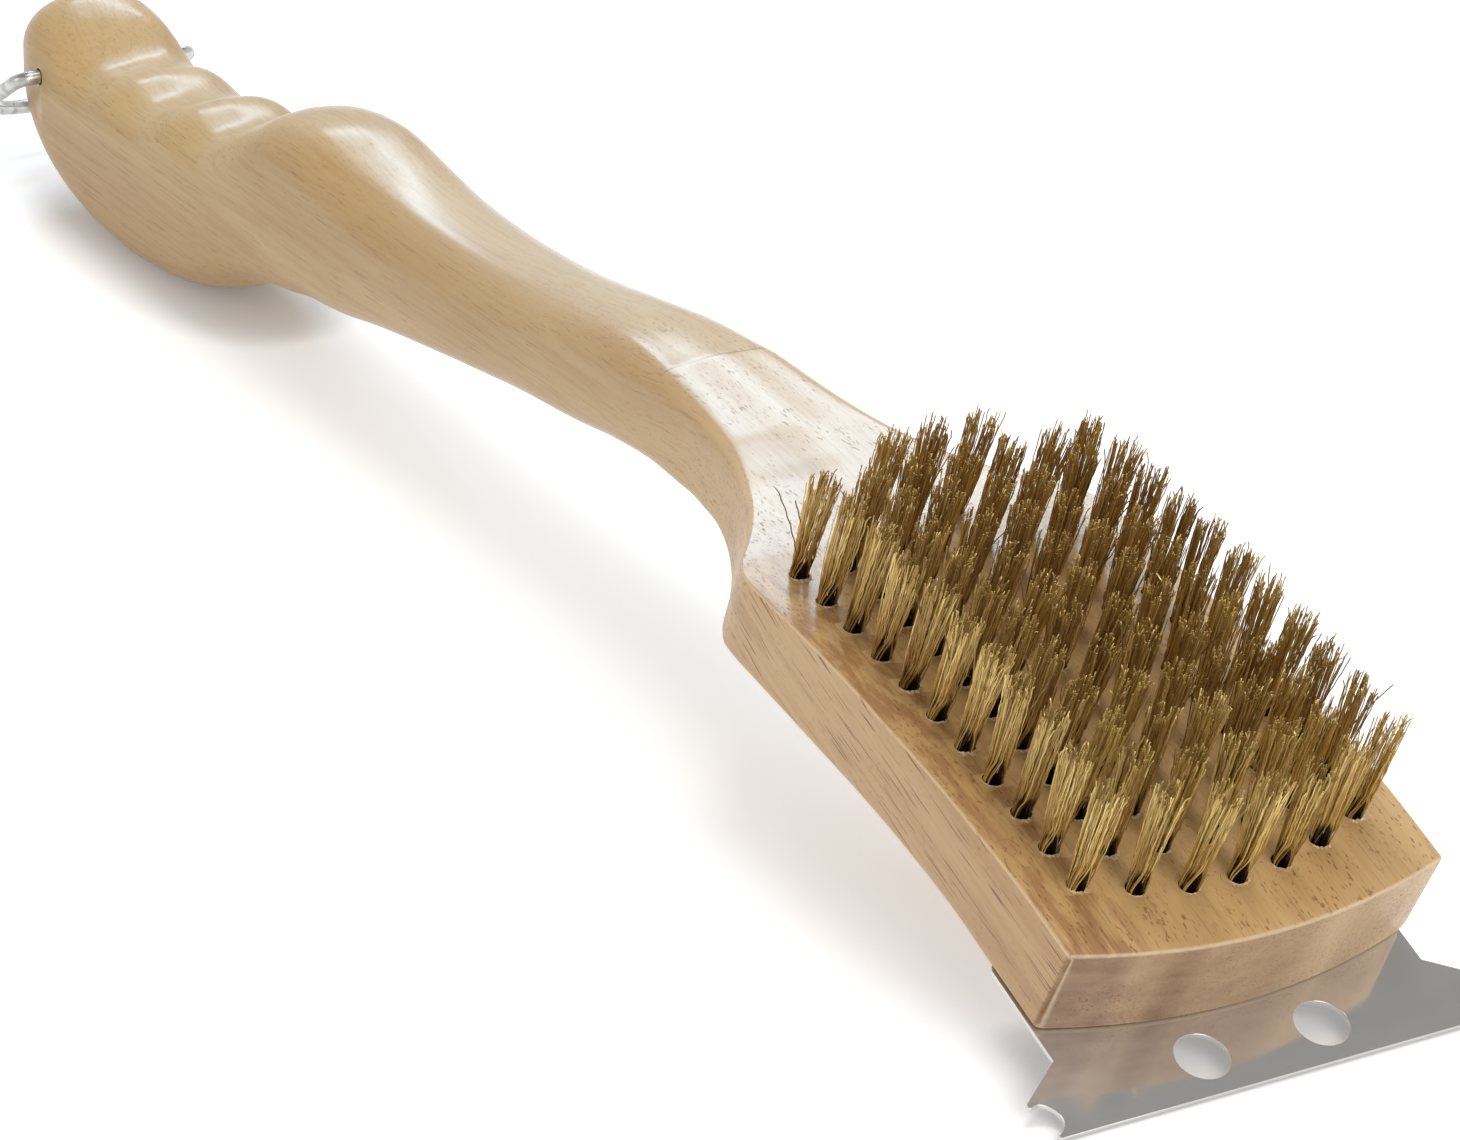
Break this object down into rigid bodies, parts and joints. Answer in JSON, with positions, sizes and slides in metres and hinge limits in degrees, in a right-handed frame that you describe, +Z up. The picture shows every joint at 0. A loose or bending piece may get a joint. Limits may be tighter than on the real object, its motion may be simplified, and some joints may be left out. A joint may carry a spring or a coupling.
{
  "type": "grill brush",
  "caption": "Long-handled grill brush lying on its back: bent wooden head and grip, field of brass wire tufts, flat steel scraper with rod notches, wire hanging bail.",
  "frame": {"origin": "middle of the object's width and length, on the surface it lies on", "axes": "+Z up, away from the surface; +Y along the handle, from the scraper to the hanging bail; +X across the head, to the right when looking along +Y"},
  "size_m": [0.0932, 0.4878, 0.0745],
  "materials": {
    "lacquered_wood": "light hardwood under a clear semi-gloss lacquer",
    "brass_wire": "dull crimped brass-plated wire",
    "stainless_sheet": "satin stainless sheet",
    "plated_steel": "zinc plated steel wire and screws"
  },
  "bodies": {
    "brush": {"handle": "lacquered_wood", "bristle_row_01": "brass_wire", "bristle_row_02": "brass_wire", "bristle_row_03": "brass_wire", "bristle_row_04": "brass_wire", "bristle_row_05": "brass_wire", "bristle_row_06": "brass_wire", "bristle_row_07": "brass_wire", "bristle_row_08": "brass_wire", "bristle_row_09": "brass_wire", "bristle_row_10": "brass_wire", "bristle_row_11": "brass_wire", "bristle_row_12": "brass_wire", "scraper": "stainless_sheet", "scraper_screw_1": "plated_steel", "scraper_screw_2": "plated_steel", "scraper_screw_3": "plated_steel"},
    "bail": {"hanging_bail": "plated_steel"}
  },
  "joints": [
    {"name": "bail_hinge", "type": "hinge", "parent": "brush", "child": "bail", "pos_m": [0, 0.21348, 0.0306], "axis": [1, 0, 0], "range_deg": [-83, 194]}
  ]
}
